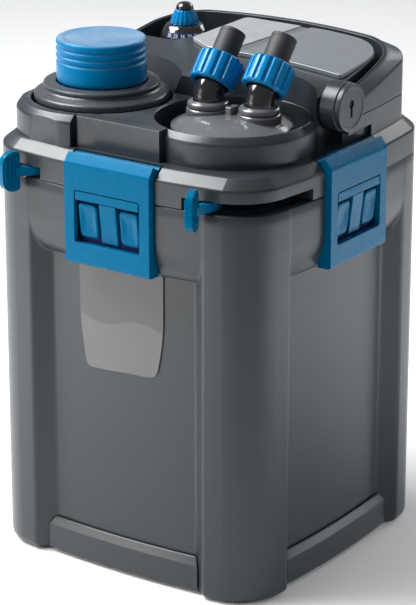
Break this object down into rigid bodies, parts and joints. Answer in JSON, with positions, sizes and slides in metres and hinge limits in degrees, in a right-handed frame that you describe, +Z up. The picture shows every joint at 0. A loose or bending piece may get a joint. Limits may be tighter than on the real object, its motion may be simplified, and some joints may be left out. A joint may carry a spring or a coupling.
{
  "type": "canister filter",
  "caption": "Square canister filter with a latched head, folding handle, prefilter and hose adapter wells, locking levers, primer cap, swivel elbows, heater and pump.",
  "frame": {"origin": "middle of the canister's flat underside, on the floor it stands on", "axes": "+Z up; the labelled front faces -Y; +X is to the right of someone facing the label"},
  "size_m": [0.25, 0.2631, 0.3867],
  "materials": {
    "body_plastic": "dark blue-grey satin moulding",
    "blue_plastic": "satin-gloss blue moulding",
    "gloss_black_plastic": "polished black moulding",
    "dark_plastic": "dark satin moulding",
    "rubber": "matt black rubber",
    "label_film": "two-tone grey film",
    "foam": "open-cell filter foam",
    "brushed_plate": "brushed light metal",
    "steel": "drawn stainless steel",
    "copper_winding": "lacquered winding",
    "ceramic": "ground ceramic"
  },
  "bodies": {
    "housing": {"canister_shell": "body_plastic", "head_cover": "body_plastic", "head_base": "dark_plastic", "head_seal": "rubber", "pump_cover": "brushed_plate", "label_plate": "label_film", "base_skirt_front": "body_plastic", "base_skirt_right": "body_plastic", "base_skirt_rear": "body_plastic", "base_skirt_left": "body_plastic", "latch_pin_front": "steel", "latch_pin_right": "steel", "latch_pin_rear": "steel", "latch_pin_left": "steel", "foot_front_left": "rubber", "foot_front_right": "rubber", "foot_rear_left": "rubber", "foot_rear_right": "rubber", "media_basket_lower": "dark_plastic", "filter_foam_lower": "foam", "media_basket_middle": "dark_plastic", "filter_foam_middle": "foam", "media_basket_upper": "dark_plastic", "filter_foam_upper": "foam", "handle_pivot_right": "body_plastic", "handle_pivot_left": "body_plastic", "pump_housing": "dark_plastic", "pump_coil": "copper_winding", "impeller_cover": "dark_plastic", "rotor_shaft": "ceramic"},
    "handle": {"carrying_handle": "body_plastic"},
    "latch_front": {"latch_frame_front": "blue_plastic"},
    "claw_front": {"latch_claw_front": "blue_plastic"},
    "latch_right": {"latch_frame_right": "blue_plastic"},
    "claw_right": {"latch_claw_right": "blue_plastic"},
    "latch_rear": {"latch_frame_rear": "blue_plastic"},
    "claw_rear": {"latch_claw_rear": "blue_plastic"},
    "latch_left": {"latch_frame_left": "blue_plastic"},
    "claw_left": {"latch_claw_left": "blue_plastic"},
    "adapter_lock": {"adapter_lever": "blue_plastic"},
    "prefilter_lock": {"prefilter_lever": "blue_plastic"},
    "adapter": {"adapter_body": "dark_plastic"},
    "elbow_in": {"elbow_inlet": "gloss_black_plastic", "hose_tail_inlet": "rubber"},
    "nut_in": {"union_nut_inlet": "blue_plastic"},
    "elbow_out": {"elbow_outlet": "gloss_black_plastic", "hose_tail_outlet": "rubber"},
    "nut_out": {"union_nut_outlet": "blue_plastic"},
    "prefilter": {"prefilter_flange": "dark_plastic", "prefilter_cage": "dark_plastic", "prefilter_foam": "foam", "priming_spring": "steel"},
    "primer": {"priming_cap": "blue_plastic", "priming_piston": "dark_plastic"},
    "heater": {"heater_tube": "gloss_black_plastic", "heater_head": "gloss_black_plastic"},
    "dial": {"heater_dial": "blue_plastic", "heater_tip": "gloss_black_plastic"},
    "rotor": {"pump_rotor": "dark_plastic"}
  },
  "joints": [
    {"name": "handle_fold", "type": "hinge", "parent": "housing", "child": "handle", "pos_m": [0, 0.003, 0.336], "axis": [1, 0, 0], "range_deg": [0, 90]},
    {"name": "latch_front_swing", "type": "hinge", "parent": "housing", "child": "latch_front", "pos_m": [0, -0.11, 0.3045], "axis": [-1, 0, 0], "range_deg": [0, 60]},
    {"name": "claw_front_swing", "type": "hinge", "parent": "latch_front", "child": "claw_front", "pos_m": [0, -0.1217, 0.281], "axis": [-1, 0, 0], "range_deg": [-10, 0]},
    {"name": "latch_right_swing", "type": "hinge", "parent": "housing", "child": "latch_right", "pos_m": [0.111, 0, 0.3045], "axis": [0, -1, 0], "range_deg": [0, 60]},
    {"name": "claw_right_swing", "type": "hinge", "parent": "latch_right", "child": "claw_right", "pos_m": [0.1227, 0, 0.281], "axis": [0, -1, 0], "range_deg": [-10, 0]},
    {"name": "latch_rear_swing", "type": "hinge", "parent": "housing", "child": "latch_rear", "pos_m": [0, 0.11, 0.3045], "axis": [1, 0, 0], "range_deg": [0, 60]},
    {"name": "claw_rear_swing", "type": "hinge", "parent": "latch_rear", "child": "claw_rear", "pos_m": [0, 0.1217, 0.281], "axis": [1, 0, 0], "range_deg": [-10, 0]},
    {"name": "latch_left_swing", "type": "hinge", "parent": "housing", "child": "latch_left", "pos_m": [-0.111, 0.008, 0.3045], "axis": [0, 1, 0], "range_deg": [0, 60]},
    {"name": "claw_left_swing", "type": "hinge", "parent": "latch_left", "child": "claw_left", "pos_m": [-0.1227, 0.008, 0.281], "axis": [0, 1, 0], "range_deg": [-10, 0]},
    {"name": "adapter_lever_turn", "type": "hinge", "parent": "housing", "child": "adapter_lock", "pos_m": [0.0475, -0.042, 0.288], "axis": [0, 0, 1], "range_deg": [0, 44]},
    {"name": "prefilter_lever_turn", "type": "hinge", "parent": "housing", "child": "prefilter_lock", "pos_m": [-0.059, -0.049, 0.288], "axis": [0, 0, -1], "range_deg": [0, 44]},
    {"name": "adapter_lift", "type": "slide", "parent": "housing", "child": "adapter", "axis": [0, 0, 1], "range_m": [0, 0.04]},
    {"name": "inlet_swivel", "type": "hinge", "parent": "adapter", "child": "elbow_in", "pos_m": [0.0285, -0.044, 0.335], "axis": [0, 0, 1], "range_deg": [0, 40]},
    {"name": "inlet_nut_turn", "type": "hinge", "parent": "elbow_in", "child": "nut_in", "pos_m": [0.0285, -0.044, 0.344], "axis": [0, 0.6428, 0.766], "continuous": true},
    {"name": "outlet_swivel", "type": "hinge", "parent": "adapter", "child": "elbow_out", "pos_m": [0.0665, -0.0372, 0.335], "axis": [0, 0, -1], "range_deg": [0, 20]},
    {"name": "outlet_nut_turn", "type": "hinge", "parent": "elbow_out", "child": "nut_out", "pos_m": [0.0665, -0.0372, 0.344], "axis": [0, 0.6428, 0.766], "continuous": true},
    {"name": "prefilter_lift", "type": "slide", "parent": "housing", "child": "prefilter", "axis": [0, 0, 1], "range_m": [0, 0.055]},
    {"name": "primer_press", "type": "slide", "parent": "prefilter", "child": "primer", "axis": [0, 0, -1], "range_m": [0, 0.01], "stiffness_N_per_m": 300, "springref_m": -0.01, "deforming": ["priming_spring"]},
    {"name": "heater_lift", "type": "slide", "parent": "housing", "child": "heater", "axis": [0, 0, 1], "range_m": [0, 0.28]},
    {"name": "dial_turn", "type": "hinge", "parent": "heater", "child": "dial", "pos_m": [-0.072, 0.07, 0.36], "axis": [0, 0, 1], "range_deg": [0, 270]},
    {"name": "rotor_spin", "type": "hinge", "parent": "housing", "child": "rotor", "pos_m": [0.038, 0.058, 0.29], "axis": [0, 0, 1], "continuous": true}
  ],
  "couplings": [
    {"joint": "claw_front_swing", "follows": "latch_front_swing", "ratio": -0.15},
    {"joint": "claw_right_swing", "follows": "latch_right_swing", "ratio": -0.15},
    {"joint": "claw_rear_swing", "follows": "latch_rear_swing", "ratio": -0.15},
    {"joint": "claw_left_swing", "follows": "latch_left_swing", "ratio": -0.15}
  ]
}
